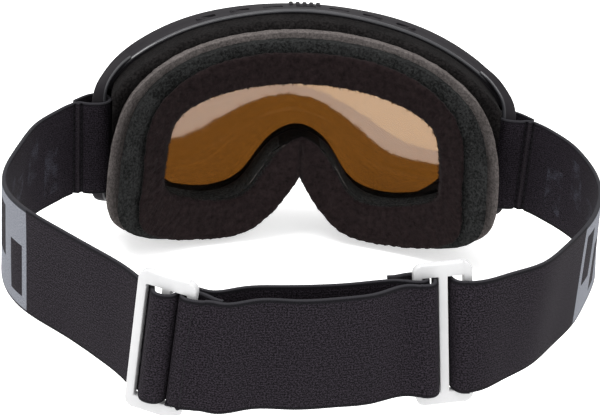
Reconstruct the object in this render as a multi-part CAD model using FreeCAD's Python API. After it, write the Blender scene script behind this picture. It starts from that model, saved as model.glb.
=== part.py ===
import FreeCAD, Part
import math
import os

# Ski goggles with a two-part elastic strap. Lengths are in millimetres.
# Working frame: x to the wearer's left, y from the lens towards the back of the head, z up. Its zero
# is midway between the two strap bars, at the strap's centre height. Each shape is moved by TO_ROW
# as it is written, so the stored origin is under the middle of the model, on the surface that it
# rests on, and x = 0 stays the frame's middle plane.

V = FreeCAD.Vector

# Driving dimensions of the strap and its hardware.
STRAP_WIDTH = 40.0
STRAP_THICK = 1.5
SLIDER_LENGTH = 20.0
SLIDER_THICK = 3.0
SLIDER_WINDOW = 41.0
SLIDER_END_BAR = 4.0
SLIDER_MID_BAR = 3.0
SLIDER_RAIL = 4.5
# Each slider's seat: its place in plan, its turn in plan, its lean in its own plane and its pitch.
LEFT_SEAT = ((53.5, 155.5), -21.5, -5.0, 0.0)
RIGHT_SEAT = ((-37.2, 143.2), 4.5, 4.2, 5.0)
WEBBING_OFF = SLIDER_THICK / 2 + STRAP_THICK / 2 + 0.6
WEAVE_REACH = 11.5
WEAVE_DIP = 1.5
LEAN_GAP = 2.2

# Strap bar on each side of the frame: a flat upright bar that the strap is sewn round.
BAR_X = 85.1
BAR_WIDE = 7.0
BAR_THICK = 2.5
BAR_ROUND = 0.8
ARM_Z = 21.0
ARM_TALL = 3.6
ARM_CORNER = 5.0
ARM_ROOT_X = 78.2
ARM_ROOT_Y = -10.3
LOOP_PLAY = 0.4

# Depth surfaces are upright cylinders: (y on the middle plane, radius). A smaller radius wraps more.
FRAME_FRONT = (-46.0, 137.0)
GROOVE_FRONT = (-44.5, 135.5)
LENS_FRONT = (-44.4, 135.4)
LENS_REAR = (-43.0, 134.0)
GROOVE_REAR = (-42.9, 133.9)
GASKET_FRONT = (-42.95, 133.95)
GASKET_REAR = (-37.6, 128.6)
INNER_FRONT = (-37.55, 128.55)
INNER_REAR = (-36.75, 127.75)
CHANNEL_FRONT = (-40.5, 131.5)
CHANNEL_REAR = (-34.0, 148.0)
FRAME_REAR = (-32.0, 146.0)
BASE_REAR = (-20.0, 114.0)
MIDDLE_REAR = (-16.3, 108.0)
FACE_FOAM_REAR = (-12.0, 103.0)
FLEECE_REAR = (-9.5, 100.5)
LAYER_GAP = 0.05

FRAME_WALL = 2.5
LENS_PLAY = 0.1
GASKET_WIDE = 2.2
INNER_OVERLAP = 3.0
INNER_OVERLAP_TO_X = 57.0
REST_Z = -44.5
TO_ROW = V(0.0, -58.7, -REST_Z)

# Half outlines seen along y, from the top centre round the wearer's left to the nose. Points with the
# same place in each list lie on the same part of the rim, so outlines can be mixed point by point.
FRAME_EDGE = [(0, 51.5), (26, 49.3), (48, 44.6), (68, 36), (82, 24), (88, 7), (86, -12),
              (77.5, -29), (59, -41.5), (40, -45.2), (22, -36.5), (11, -21), (0, -13)]
APERTURE = [(0, 40), (22, 38.3), (40, 34.5), (56, 28.5), (68, 18.5), (73, 5), (71.5, -9),
            (65, -21), (53, -28), (39, -30.6), (27, -27), (14, -9.8), (0, -2.2)]
FOAM_EDGE = [(0, 47.5), (23.5, 46), (44, 42), (60, 35), (71, 25), (77.3, 8), (79.2, -10),
             (76.5, -26), (66, -37.5), (45, -41.5), (24, -37), (10, -24), (0, -14)]
FLEECE_EDGE = [(0, 40.2), (19.5, 39.4), (36, 36.5), (50, 30.5), (60, 20.8), (64.3, 5), (65.2, -12),
               (64, -29.5), (55.5, -37), (38, -41.5), (22, -40.3), (9.5, -30), (0, -15)]
OPENING = [(0, 26.9), (16, 26.2), (30, 24.2), (43, 20.5), (51.8, 14.5), (55, 5), (56.2, -6),
           (55.8, -15), (47.5, -21), (36, -24.3), (25, -23.6), (14.3, -10.3), (0, 2.7)]

LENS_EDGE = [(a[0] * 0.6 + b[0] * 0.4, a[1] * 0.6 + b[1] * 0.4) for a, b in zip(FRAME_EDGE, APERTURE)]
LIP_EDGE = [(a[0] * 0.45 + b[0] * 0.55, a[1] * 0.45 + b[1] * 0.55) for a, b in zip(FRAME_EDGE, APERTURE)]

# Plan of the strap from each frame bar to its slider, along the middle of the webbing.
LEFT_RUN = [(93.6, 3.6), (99.0, 11.5), (104.5, 22.5), (109.0, 37.0), (111.5, 54.0), (111.7, 71.0),
            (108.6, 86.0), (101.0, 101.0), (88.0, 116.5), (74.5, 131.5)]
RIGHT_RUN = [(-93.6, 3.6), (-99.5, 11.5), (-104.8, 22.5), (-108.0, 34.0), (-109.6, 48.0), (-107.8, 65.0),
             (-101.5, 82.0), (-92.0, 99.0), (-80.5, 116.5), (-69.5, 130.0), (-58.5, 138.2)]
RUN_SPLIT = 5


def mirrored(points):
    """Close a half outline: the left half, then its mirror image back to the top centre."""
    return points + [(-x, z) for x, z in points[-2:0:-1]]


def mixed(first, second, share):
    """An outline part of the way from one to another."""
    return [(a[0] + (b[0] - a[0]) * share, a[1] + (b[1] - a[1]) * share) for a, b in zip(first, second)]


def grown(points, distance):
    """Move a half outline outwards by a distance, square to its own direction."""
    loop = mirrored(points)
    moved = []
    for i in range(len(points)):
        before, after = loop[i - 1], loop[(i + 1) % len(loop)]
        dx, dz = after[0] - before[0], after[1] - before[1]
        length = math.hypot(dx, dz)
        moved.append((points[i][0] - dz / length * distance, points[i][1] + dx / length * distance))
    moved[0] = (0.0, moved[0][1])
    moved[-1] = (0.0, moved[-1][1])
    return moved


def prism(points, y_low=-70.0, y_high=50.0):
    """Straight prism along y over a smooth closed outline."""
    curve = Part.BSplineCurve()
    curve.interpolate([V(x, y_low, z) for x, z in mirrored(points)], PeriodicFlag=True)
    face = Part.Face(Part.Wire(curve.toShape()))
    return face.extrude(V(0, y_high - y_low, 0))


def behind(surface):
    """Everything on the face's side of a depth surface."""
    y, radius = surface
    return Part.makeCylinder(radius, 140, V(0, y + radius, -70))


def slab(front, rear):
    return behind(front).cut(behind(rear))


def ring(outer, inner, front, rear):
    """A closed band between two outlines and two depth surfaces."""
    return prism(outer).cut(prism(inner)).common(slab(front, rear))


def box(x_low, x_high, y_low, y_high, z_low, z_high):
    return Part.makeBox(x_high - x_low, y_high - y_low, z_high - z_low, V(x_low, y_low, z_low))


def both_sides(shape):
    """A shape and its mirror image across the middle plane."""
    return [shape, shape.mirror(V(0, 0, 0), V(1, 0, 0))]


def deeper(surface, step):
    """The parallel surface a small step towards the face."""
    return (surface[0] + step, surface[1] - step)


def vent_slots():
    """Seven slots through the top wall and three through each cheek's lower wall."""
    depth = slab((-40.1, 131.1), (-37.9, 128.9))
    top = [box(x - 4.2, x + 4.2, -70, 30, 36, 60) for x in range(-42, 43, 14)]
    low = [box(x - 3.4, x + 3.4, -70, 30, -60, -29) for x in (36, 46, 56)]
    low += [box(-x - 3.4, -x + 3.4, -70, 30, -60, -29) for x in (36, 46, 56)]
    return Part.makeCompound(top + low).common(depth)


def strap_bar():
    """The upright bar on the wearer's left, with the two arms that carry it behind the rim."""
    x_low, x_high = BAR_X - BAR_WIDE / 2, BAR_X + BAR_WIDE / 2
    tall = ARM_Z + ARM_TALL
    block = box(ARM_ROOT_X, x_high, ARM_ROOT_Y, BAR_THICK / 2, -tall, tall)
    outer = [e for e in block.Edges if abs(e.tangentAt(e.FirstParameter).y) > 0.9
             and e.CenterOfMass.x > x_high - 0.1]
    block = block.makeFillet(ARM_CORNER, outer)
    block = block.cut(box(ARM_ROOT_X - 1, x_low, -20, 20, -ARM_Z, ARM_Z))
    block = block.cut(box(ARM_ROOT_X - 1, x_high + 1, -20, -BAR_THICK / 2, -ARM_Z, ARM_Z))
    corners = [e for e in block.Edges if abs(e.tangentAt(e.FirstParameter).z) > 0.9
               and e.Length < 2 * ARM_Z + 1 and e.Length > 2 * ARM_Z - 11]
    return block.makeFillet(BAR_ROUND, corners)


def make_frame():
    """The moulded frame: a channel-section rim, open to the inside, with a groove for the lens."""
    body = ring(FRAME_EDGE, APERTURE, FRAME_FRONT, FRAME_REAR)
    inside = grown(APERTURE, -1.0)
    channel = ring(grown(FRAME_EDGE, -FRAME_WALL), inside, CHANNEL_FRONT, CHANNEL_REAR)
    groove = ring(grown(LENS_EDGE, LENS_PLAY), inside, GROOVE_FRONT, GROOVE_REAR)
    window = ring(LIP_EDGE, inside, deeper(FRAME_FRONT, -1.0), GROOVE_FRONT)
    well = ring(grown(inner_lens_edge(), LENS_PLAY), inside, GROOVE_FRONT, deeper(CHANNEL_FRONT, 0.5))
    body = body.cut(channel).cut(groove).cut(well).cut(window).cut(vent_slots())
    body = body.cut(box(-120, 120, -80, 60, -80, REST_Z))
    half = STRAP_WIDTH / 2 + 1.0
    for relief in both_sides(box(79, 110, -3.7, 20, -half, half)):
        body = body.cut(relief)
    bar = strap_bar()
    for side in both_sides(bar):
        body = body.fuse(side)
    return body.removeSplitter()


def make_outer_lens():
    return prism(LENS_EDGE).common(slab(LENS_FRONT, LENS_REAR))


def inner_lens_edge():
    """Past the frame's opening above and below, where the channel has room, and inside it at the sides."""
    wide, close = grown(APERTURE, INNER_OVERLAP), grown(APERTURE, -0.6)
    return [w if w[0] < INNER_OVERLAP_TO_X else c for w, c in zip(wide, close)]


def make_inner_lens():
    return prism(inner_lens_edge()).common(slab(INNER_FRONT, INNER_REAR))


def make_gasket():
    """Closed-cell foam bead that seals the air between the two lenses."""
    edge = inner_lens_edge()
    return ring(edge, grown(edge, -GASKET_WIDE), GASKET_FRONT, GASKET_REAR)


def vent_foam(x_low, x_high, z_low, z_high):
    """A strip of open foam on the inside of the frame's wall, over the slots."""
    strip = ring(grown(FRAME_EDGE, -FRAME_WALL - 0.1), grown(FRAME_EDGE, -FRAME_WALL - 3.1),
                 deeper(CHANNEL_FRONT, 0.2), deeper(CHANNEL_REAR, -0.2))
    return strip.common(box(x_low, x_high, -70, 40, z_low, z_high))


def layer_outlines(share):
    """Outer and inner outline of the face padding, from the frame (0) to the face (1)."""
    outer = mixed(FOAM_EDGE, FLEECE_EDGE, share)
    inner = mixed(grown(APERTURE, -0.5), OPENING, share)
    return outer, inner


def make_foam_base():
    """The thick first layer, glued to the frame's rear flange and cut away beside the strap bars."""
    outer, inner = grown(FOAM_EDGE, 1.0), layer_outlines(0.25)[1]
    foam = ring(outer, inner, deeper(FRAME_REAR, LAYER_GAP), BASE_REAR)
    for relief in both_sides(box(77.6, 100, -60, 9.5, -27, 27)):
        foam = foam.cut(relief)
    return foam


def make_foam_middle():
    outer = FOAM_EDGE
    inner = layer_outlines(0.6)[1]
    return ring(outer, inner, deeper(BASE_REAR, LAYER_GAP), MIDDLE_REAR)


def make_foam_face():
    outer = layer_outlines(0.35)[0]
    inner = layer_outlines(0.85)[1]
    return ring(outer, inner, deeper(MIDDLE_REAR, LAYER_GAP), FACE_FOAM_REAR)


def make_face_fleece():
    return ring(FLEECE_EDGE, OPENING, deeper(FACE_FOAM_REAR, LAYER_GAP), FLEECE_REAR)


def normals(curve, count):
    """Points along a plan curve with the unit normal to its left."""
    found = []
    for i in range(count + 1):
        t = curve.FirstParameter + (curve.LastParameter - curve.FirstParameter) * i / count
        along = curve.tangent(t)[0]
        found.append((curve.value(t), V(-along.y, along.x, 0)))
    return found


def ribbon(points, first=0, last=None, thick=STRAP_THICK, height=STRAP_WIDTH):
    """Upright webbing along a smooth plan path; first and last pick a stretch between path points."""
    curve = Part.BSplineCurve()
    curve.interpolate([V(x, y, 0) for x, y in points])
    last = len(points) - 1 if last is None else last
    start, end = [curve.parameter(V(points[i][0], points[i][1], 0)) for i in (first, last)]
    curve.segment(start, end)
    found = normals(curve, 8 * (last - first))
    sides = []
    for way in (thick / 2, -thick / 2):
        side = Part.BSplineCurve()
        side.interpolate([p + n * way for p, n in found])
        sides.append(side)
    caps = [Part.LineSegment(sides[0].value(t[0]), sides[1].value(t[1])) for t in
            ((sides[0].FirstParameter, sides[1].FirstParameter),
             (sides[0].LastParameter, sides[1].LastParameter))]
    edges = [sides[0].toShape(), caps[1].toShape(), sides[1].toShape(), caps[0].toShape()]
    face = Part.Face(Part.Wire(Part.__sortEdges__(edges)))
    return face.extrude(V(0, 0, height)).translated(V(0, 0, -height / 2))


def rounded_block(x_low, x_high, y_low, y_high, radius):
    """A block as tall as the webbing is wide, with its upright edges rounded."""
    block = box(x_low, x_high, y_low, y_high, -STRAP_WIDTH / 2, STRAP_WIDTH / 2)
    upright = [e for e in block.Edges if abs(e.tangentAt(e.FirstParameter).z) > 0.9]
    return block.makeFillet(radius, upright)


def wrap_round(x_low, x_high, half_thick, tab_end, corner):
    """Webbing folded round a bar from x_low to x_high, its two layers meeting in a flat tab."""
    near, far = LOOP_PLAY, LOOP_PLAY + STRAP_THICK
    hole = rounded_block(x_low - near, x_high + near, -half_thick - near, half_thick + near, corner)
    skin = rounded_block(x_low - far, x_high + far, -half_thick - far, half_thick + far,
                         corner + STRAP_THICK)
    half_width = STRAP_WIDTH / 2
    tab = box(x_high + near + 0.4, tab_end, -STRAP_THICK, STRAP_THICK, -half_width, half_width)
    return skin.fuse(tab).cut(hole).removeSplitter()


def make_frame_loops():
    """The strap's end, folded round each frame bar and sewn to itself just outside it."""
    loop = wrap_round(BAR_X - BAR_WIDE / 2, BAR_X + BAR_WIDE / 2, BAR_THICK / 2, 92.4, 1.6)
    return both_sides(loop)


def stitch_row(x, y, count=11, length=2.4):
    """An upright row of thread on the outside of a seam."""
    pitch = (STRAP_WIDTH - 4.0) / count
    start = -(count - 1) / 2 * pitch
    return [box(x - 0.25, x + 0.25, y, y + 0.3, start + i * pitch - length / 2,
                start + i * pitch + length / 2) for i in range(count)]


def make_loop_stitching():
    """Two rows of thread on the tab of each frame loop, one on each face."""
    rows = stitch_row(91.3, STRAP_THICK + 0.02) + stitch_row(91.3, -STRAP_THICK - 0.32)
    left = Part.makeCompound(rows)
    return left, left.mirror(V(0, 0, 0), V(1, 0, 0))


def make_slider():
    """Three-bar buckle lying in the xz plane: two end bars, a middle bar and two rails."""
    half, tall = SLIDER_LENGTH / 2, SLIDER_WINDOW / 2 + SLIDER_RAIL
    plate = box(-half, half, -SLIDER_THICK / 2, SLIDER_THICK / 2, -tall, tall)
    across = [e for e in plate.Edges if abs(e.tangentAt(e.FirstParameter).y) > 0.9]
    plate = plate.makeFillet(3.0, across)
    rim = [e for e in plate.Edges if abs(abs(e.CenterOfMass.y) - SLIDER_THICK / 2) < 0.01]
    plate = plate.makeFillet(0.8, rim)
    low, high = SLIDER_MID_BAR / 2, half - SLIDER_END_BAR
    for window in both_sides(box(low, high, -5, 5, -SLIDER_WINDOW / 2, SLIDER_WINDOW / 2)):
        plate = plate.cut(window)
    return plate


def placed(shape, seat):
    """Lean, pitch and turn a slider shape, then move it to its seat on the strap."""
    at, turn, lean, pitch = seat
    moved = shape.copy()
    moved.rotate(V(0, 0, 0), V(0, 1, 0), lean)
    moved.rotate(V(0, 0, 0), V(1, 0, 0), pitch)
    moved.rotate(V(0, 0, 0), V(0, 0, 1), turn)
    moved.translate(V(at[0], at[1], 0))
    return moved


def placed_point(point, seat):
    """Plan position of a point given along the slider and outwards from it."""
    at, angle = seat[0], math.radians(seat[1])
    return (at[0] + point[0] * math.cos(angle) - point[1] * math.sin(angle),
            at[1] + point[0] * math.sin(angle) + point[1] * math.cos(angle))


def slider_shapes():
    """Both sliders with the webbing that goes with them, each in its place on the strap."""
    slider = make_slider()
    end_bar = SLIDER_LENGTH / 2 - SLIDER_END_BAR / 2
    under, over = -WEBBING_OFF, WEBBING_OFF
    deep = under - STRAP_THICK - 0.5
    # Left slider: the left strap comes from +x behind the outer bar, crests the middle bar, and dives
    # behind the inner bar, under the folded end of the right strap.
    left_path = [(WEAVE_REACH, under - WEAVE_DIP), (8.4, under), (5.6, under + 0.4), (3.6, 0.0), (2.4, over - 0.3),
                 (0.0, over + 0.5), (-2.3, over - 0.5), (-3.0, 0.0), (-3.5, under + 0.2),
                 (-5.4, deep), (-8.0, deep - 0.4), (-12.0, deep - 0.4)]
    left_weave = placed(ribbon(left_path, thick=STRAP_THICK * 0.8), LEFT_SEAT)
    right_end = placed(sewn_end(-end_bar, -1), LEFT_SEAT)
    # Right slider: the right strap comes from -x over the outer bar, dips behind the middle bar and
    # rises over the inner bar, on top of the folded end of the left strap.
    high = over + STRAP_THICK + 0.5
    right_path = [(-WEAVE_REACH, over - WEAVE_DIP / 2), (-8.4, over), (-5.4, over - 0.3), (-3.4, 0.0), (-2.4, under + 0.3),
                  (0.0, under - 0.5), (2.3, under + 0.5), (3.0, 0.0), (3.5, over - 0.2),
                  (5.4, high), (8.0, high + 0.4), (11.5, high + 0.4)]
    right_weave = placed(ribbon(right_path, thick=STRAP_THICK * 0.8), RIGHT_SEAT)
    left_end = placed(sewn_end(end_bar, 1), RIGHT_SEAT)
    return {
        "left_slider": placed(slider, LEFT_SEAT),
        "left_strap_weave": left_weave,
        "right_strap_sewn_end": right_end,
        "right_slider": placed(slider, RIGHT_SEAT),
        "right_strap_weave": right_weave,
        "left_strap_sewn_end": left_end,
    }


def sewn_end(bar_x, way):
    """A strap end folded round a slider's end bar, its tab pointing away from the slider."""
    half = SLIDER_END_BAR / 2
    shape = wrap_round(-half, half, SLIDER_THICK / 2, 8.5, 1.0)
    if way < 0:
        shape = shape.mirror(V(0, 0, 0), V(1, 0, 0))
    return shape.translated(V(bar_x, 0, 0))


def seam_stitching(seat, way):
    """Thread across the tab of a sewn end, one row on each face."""
    x = way * (SLIDER_LENGTH / 2 + 4.6)
    rows = stitch_row(x, STRAP_THICK + 0.02) + stitch_row(x, -STRAP_THICK - 0.32)
    return placed(Part.makeCompound(rows), seat)


def make_layers():
    """The two lengths of webbing that lie over each other between the sliders."""
    half = SLIDER_LENGTH / 2
    outer_start = placed_point((-half - 6.8 - LEAN_GAP, -0.8), LEFT_SEAT)
    outer_end = placed_point((half + 1.6 + LEAN_GAP, 4.4), RIGHT_SEAT)
    outer = [outer_start, (25.0, 160.6), (12.0, 160.0), (-3.0, 157.4), (-15.0, 153.8), outer_end]
    inner_start = placed_point((-half - 2.2 - LEAN_GAP, -5.8), LEFT_SEAT)
    inner_end = placed_point((half + 6.8 + LEAN_GAP, 0.4), RIGHT_SEAT)
    inner = [inner_start, (30.0, 152.8), (17.0, 151.2), (4.0, 149.6), (-8.0, 147.4), inner_end]
    return ribbon(outer), ribbon(inner)


def write(name, shape):
    moved = shape.translated(TO_ROW)
    moved.exportStep("parts/" + name + ".step")


def main():
    os.makedirs("parts", exist_ok=True)
    write("frame", make_frame())
    write("outer_lens", make_outer_lens())
    write("inner_lens", make_inner_lens())
    write("lens_spacer_gasket", make_gasket())
    write("top_vent_foam", vent_foam(-50, 50, 30, 60))
    write("left_vent_foam", vent_foam(31, 62, -50, -20))
    write("right_vent_foam", vent_foam(-62, -31, -50, -20))
    write("foam_base", make_foam_base())
    write("foam_middle", make_foam_middle())
    write("foam_face", make_foam_face())
    write("face_fleece", make_face_fleece())
    for side, loop, thread in zip(("left", "right"), make_frame_loops(), make_loop_stitching()):
        write(side + "_strap_frame_loop", loop)
        write(side + "_loop_stitching", thread)
    reach = WEAVE_REACH + LEAN_GAP
    left_end = placed_point((reach, -WEBBING_OFF - 2 * WEAVE_DIP), LEFT_SEAT)
    right_end = placed_point((-reach, WEBBING_OFF - WEAVE_DIP), RIGHT_SEAT)
    for side, run in (("left", LEFT_RUN + [left_end]), ("right", RIGHT_RUN + [right_end])):
        write(side + "_strap_side", ribbon(run, 0, RUN_SPLIT))
        write(side + "_strap_rear", ribbon(run, RUN_SPLIT))
    for name, shape in slider_shapes().items():
        write(name, shape)
    write("right_end_stitching", seam_stitching(LEFT_SEAT, -1))
    write("left_end_stitching", seam_stitching(RIGHT_SEAT, 1))
    outer_layer, inner_layer = make_layers()
    write("right_strap_outer_layer", outer_layer)
    write("left_strap_inner_layer", inner_layer)


main()
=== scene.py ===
import bmesh
import bpy
import math
import numpy as np
import random
from mathutils import Matrix, Vector, noise


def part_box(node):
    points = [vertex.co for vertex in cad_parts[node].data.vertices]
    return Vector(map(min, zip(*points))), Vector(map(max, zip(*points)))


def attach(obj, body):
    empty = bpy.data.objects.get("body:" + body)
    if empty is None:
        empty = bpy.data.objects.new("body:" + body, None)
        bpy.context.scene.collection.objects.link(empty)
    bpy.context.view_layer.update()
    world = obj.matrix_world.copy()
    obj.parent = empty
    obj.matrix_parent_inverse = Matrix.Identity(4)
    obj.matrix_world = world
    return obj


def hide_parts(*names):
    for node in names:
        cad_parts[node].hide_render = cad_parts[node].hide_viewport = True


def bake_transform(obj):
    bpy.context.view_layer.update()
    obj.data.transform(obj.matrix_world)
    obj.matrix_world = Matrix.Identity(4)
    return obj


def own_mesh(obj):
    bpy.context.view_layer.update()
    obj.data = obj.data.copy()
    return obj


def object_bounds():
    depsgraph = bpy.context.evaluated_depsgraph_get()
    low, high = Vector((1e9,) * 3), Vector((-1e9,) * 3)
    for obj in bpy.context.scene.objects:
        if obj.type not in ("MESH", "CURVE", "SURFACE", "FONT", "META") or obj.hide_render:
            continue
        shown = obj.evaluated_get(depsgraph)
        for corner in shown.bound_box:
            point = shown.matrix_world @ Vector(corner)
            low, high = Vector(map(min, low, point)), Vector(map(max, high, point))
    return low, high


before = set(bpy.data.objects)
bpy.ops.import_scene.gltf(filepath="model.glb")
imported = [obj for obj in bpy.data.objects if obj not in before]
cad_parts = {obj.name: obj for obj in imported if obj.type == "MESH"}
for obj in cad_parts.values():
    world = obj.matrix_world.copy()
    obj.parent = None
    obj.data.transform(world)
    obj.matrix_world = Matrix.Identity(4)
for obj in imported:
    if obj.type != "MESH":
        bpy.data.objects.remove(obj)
CAD_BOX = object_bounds()

# Shapes are worked out in millimetres, with x to the wearer's left, y from the lens towards the back
# of the head and z up, from a zero midway between the two strap bars. The frame's lens side and its
# resting edge are this far from that zero:
LENS_SIDE = 46.0
REST_EDGE = 44.5
MM = 0.001
FRAME_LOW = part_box("frame")[0]
ZERO = Vector((0, FRAME_LOW.y + LENS_SIDE * MM, FRAME_LOW.z + REST_EDGE * MM))

# Half outlines of the goggles seen along y, from the top centre round to the nose. The rim's front edge
# is a little wider at the shoulders than its rear edge.
FRONT_EDGE = [(0, 51), (26, 49.7), (48, 46.1), (67, 39.2), (81.5, 28.5), (88.4, 10), (86, -12),
              (77.5, -29), (59, -41.5), (40, -44.5), (22, -36.5), (11, -21), (0, -13)]
FRAME_EDGE = [(0, 51.5), (26, 49.3), (48, 44.6), (68, 36), (82, 24), (88, 7), (86, -12),
              (77.5, -29), (59, -41.5), (40, -44.5), (22, -36.5), (11, -21), (0, -13)]
APERTURE = [(0, 40), (22, 38.3), (40, 34.5), (56, 28.5), (68, 18.5), (73, 5), (71.5, -9),
            (65, -21), (53, -28), (39, -30.6), (27, -27), (14, -9.8), (0, -2.2)]
FOAM_EDGE = [(0, 47.5), (23.5, 46), (44, 42), (60, 35), (71, 25), (77.3, 8), (79.2, -10),
             (76.8, -26), (67, -35.5), (45, -40), (24, -37), (10, -24), (0, -14)]
FLEECE_EDGE = [(0, 40.2), (19.5, 39.4), (36, 36.5), (50, 30.5), (60, 20.8), (64.3, 5), (65.2, -12),
               (64.3, -30.8), (57, -37), (39, -41.6), (22, -40.3), (9.5, -30), (0, -15)]
OPENING = [(0, 26.9), (16, 26.2), (30, 24.2), (43, 20.5), (51.8, 14.5), (55, 5), (56.2, -6),
           (55.8, -15), (47.5, -21), (36, -24.3), (25, -23.6), (14.3, -10.3), (0, 2.7)]
OUTLINE_STEP = 12
# The outer lens and the lip that holds it reach this share of the way from the rim to the aperture.
LENS_SHARE, LIP_SHARE = 0.4, 0.55

# Depth surfaces are upright cylinders: (y on the middle plane, radius).
FRAME_FRONT, FRAME_REAR = (-46.0, 137.0), (-32.0, 146.0)
LENS_FRONT, LENS_REAR = (-44.4, 135.4), (-43.0, 134.0)
GASKET_FRONT, GASKET_REAR = (-42.95, 133.95), (-37.6, 128.6)
INNER_FRONT, INNER_REAR = (-37.55, 128.55), (-36.75, 127.75)
BASE_REAR = (-20.0, 114.0)
MIDDLE_REAR = (-16.3, 108.0)
FACE_FOAM_REAR = (-12.0, 103.0)
FLEECE_REAR = (-9.5, 100.5)
VENT_FRONT, VENT_REAR = (-40.3, 131.3), (-34.2, 148.2)

# Strap, its bar on the frame and the sliders.
STRAP_WIDE, STRAP_THICK = 40.0, 1.5
BAR_X, BAR_Y, BAR_HALF, BAR_THICK = 83.6, -1.6, 2.9, 2.5
LOOP_END = (93.6, 2.9)
SLIDER_HALF, SLIDER_THICK = 9.6, 3.0
SLIDER_END_BAR, SLIDER_MID_HALF = 2.9, 1.5
SLIDER_WINDOW, SLIDER_RAIL = 20.5, 4.5
# Each slider's seat: its place in plan, its turn in plan, its lean in its own plane and its pitch.
LEFT_SEAT = ((53.5, 155.5), -21.5, -5.0, 0.0)
RIGHT_SEAT = ((-37.2, 143.2), 4.5, 6.0, 5.0)
# Webbing that lies on a slider's face is OFF from its middle plane; a second layer is DEEP from it.
OFF = SLIDER_THICK / 2 + STRAP_THICK / 2 + 0.6
DEEP = OFF + STRAP_THICK + 0.5
# Each strap's way in plan from the loop on its frame bar to its own slider.
LEFT_RUN = [(99.3, 11.2), (105.3, 22.0), (110.0, 37.0), (112.4, 54.0), (112.6, 71.0),
            (109.6, 86.3), (101.6, 101.3), (88.0, 116.5), (74.5, 131.5)]
RIGHT_RUN = [(-99.5, 11.5), (-104.8, 22.5), (-108.0, 34.0), (-109.4, 48.0), (-106.9, 65.0),
             (-100.8, 82.0), (-92.4, 99.0), (-80.5, 116.5), (-69.5, 130.0), (-58.5, 138.2)]


# ---------------------------------------------------------------- curves and meshes

def spline(points, step, closed=False):
    """Smooth curve through the points, with step samples in each span."""
    p = np.array(points, float)
    if closed:
        p = np.vstack([p, p[:1]])
    n = len(p)
    chord = np.linalg.norm(np.diff(p, axis=0), axis=1)
    slope = np.diff(p, axis=0) / chord[:, None]
    a, b = np.zeros((n, n)), np.zeros_like(p)
    for i in range(1, n - 1):
        a[i, i - 1:i + 2] = chord[i], 2 * (chord[i - 1] + chord[i]), chord[i - 1]
        b[i] = 3 * (chord[i] * slope[i - 1] + chord[i - 1] * slope[i])
    if closed:
        a[0, 0], a[0, -1] = 1, -1
        a[-1, -2], a[-1, -1], a[-1, 1] = chord[0], 2 * (chord[-1] + chord[0]), chord[-1]
        b[-1] = 3 * (chord[0] * slope[-1] + chord[-1] * slope[0])
    else:
        a[0, :2], a[-1, -2:] = (2, 1), (1, 2)
        b[0], b[-1] = 3 * slope[0], 3 * slope[-1]
    m = np.linalg.solve(a, b)
    t = (np.arange(step) / step)[:, None]
    spans = [p[i] * (2 * t ** 3 - 3 * t ** 2 + 1) + m[i] * chord[i] * (t ** 3 - 2 * t ** 2 + t)
             + p[i + 1] * (3 * t ** 2 - 2 * t ** 3) + m[i + 1] * chord[i] * (t ** 3 - t ** 2)
             for i in range(n - 1)]
    return np.vstack(spans if closed else spans + [p[-1:]])


def outline(half, cusp=False, step=OUTLINE_STEP):
    """Closed outline from the nose up the wearer's left side, over the top and back to the nose."""
    points = half[::-1] + [(-x, z) for x, z in half[1:]]
    if cusp:
        return spline(points, step)[:-1]
    return spline(points[:-1], step, closed=True)


def mixed(first, second, share):
    return [(a[0] + (b[0] - a[0]) * share, a[1] + (b[1] - a[1]) * share) for a, b in zip(first, second)]


def grown(loop, distance):
    """Move a sampled outline outwards."""
    along = np.roll(loop, -1, 0) - np.roll(loop, 1, 0)
    along /= np.linalg.norm(along, axis=1)[:, None]
    out = np.c_[along[:, 1], -along[:, 0]]
    out[0] = (0, -1)
    return loop + out * distance


def depth(surface, x):
    y, radius = surface
    return y + radius - np.sqrt(radius ** 2 - x ** 2)


def placed(name, data):
    """A new object in the scene."""
    obj = bpy.data.objects.new(name, data)
    bpy.context.scene.collection.objects.link(obj)
    return obj


def solid(name, points, faces, smooth_angle=40):
    """Mesh object from points in millimetres in the working frame."""
    mesh = bpy.data.meshes.new(name)
    mesh.from_pydata([Vector(p) * MM + ZERO for p in np.asarray(points, float).tolist()], [], faces)
    mesh.validate()
    obj = placed(name, mesh)
    tidy_mesh(obj, smooth_angle)
    return obj


def tidy_mesh(obj, smooth_angle=40, weld=False):
    """Normals outwards, smooth shading with hard edges kept.

    Welding joins points that fell together in a cut or a bevel, and drops faces without area.
    """
    bm = bmesh.new()
    bm.from_mesh(obj.data)
    if weld:
        bmesh.ops.remove_doubles(bm, verts=bm.verts, dist=0.002 * MM)
        bmesh.ops.dissolve_degenerate(bm, edges=bm.edges, dist=0.002 * MM)
    bmesh.ops.recalc_face_normals(bm, faces=bm.faces)
    bm.to_mesh(obj.data)
    bm.free()
    obj.data.shade_smooth()
    obj.data.set_sharp_from_angle(angle=math.radians(smooth_angle))


def apply_modifiers(obj):
    """Replace an object's mesh with its modified one."""
    graph = bpy.context.evaluated_depsgraph_get()
    made = bpy.data.meshes.new_from_object(obj.evaluated_get(graph), depsgraph=graph)
    obj.modifiers.clear()
    obj.data = made


def boolean(obj, other, operation):
    """Cut or join another object, which is then removed."""
    step = obj.modifiers.new("join", "BOOLEAN")
    step.object, step.operation, step.solver = other, operation, "EXACT"
    apply_modifiers(obj)
    bpy.data.objects.remove(other)


def bevelled(obj, width, segments=3, angle=35):
    step = obj.modifiers.new("bevel", "BEVEL")
    step.width, step.segments, step.limit_method = width * MM, segments, "ANGLE"
    step.angle_limit = math.radians(angle)
    apply_modifiers(obj)
    return obj


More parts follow.
